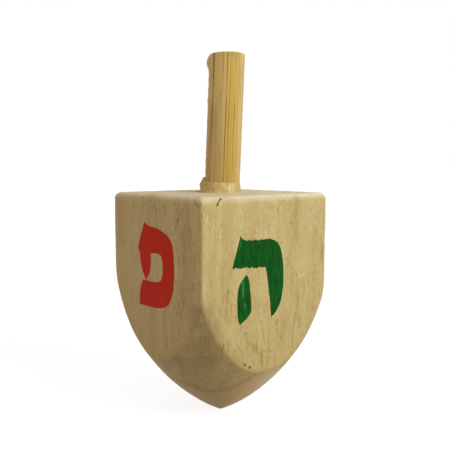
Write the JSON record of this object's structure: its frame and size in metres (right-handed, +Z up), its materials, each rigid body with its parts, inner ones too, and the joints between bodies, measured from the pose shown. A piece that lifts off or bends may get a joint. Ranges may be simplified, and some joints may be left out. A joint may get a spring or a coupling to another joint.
{
  "type": "spinning top",
  "caption": "Four-sided wooden spinning top with a square block body, a turned point, a straight round bamboo handle glued in its top and one printed mark on each side.",
  "frame": {"origin": "the small flat on the tip of the turned point, on the spin axis", "axes": "+Z up the spin axis towards the handle, +X out of the gimel side, +Y out of the nun side, so the he side faces -Y and the pe side faces -X"},
  "size_m": [0.0254, 0.0237, 0.0578],
  "materials": {
    "hardwood": "sanded bare hardwood, fine upright grain",
    "bamboo": "bare bamboo with lengthwise fibres",
    "dried_glue": "dried amber glue, glossy",
    "blue_ink": "ink soaked into the wood",
    "orange_ink": "ink soaked into the wood",
    "green_ink": "ink soaked into the wood",
    "red_ink": "ink soaked into the wood"
  },
  "bodies": {
    "root": {"block": "hardwood", "handle": "bamboo", "glue": "dried_glue", "mark_nun": "blue_ink", "mark_gimel": "orange_ink", "mark_he": "green_ink", "mark_pe": "red_ink"}
  },
  "joints": []
}
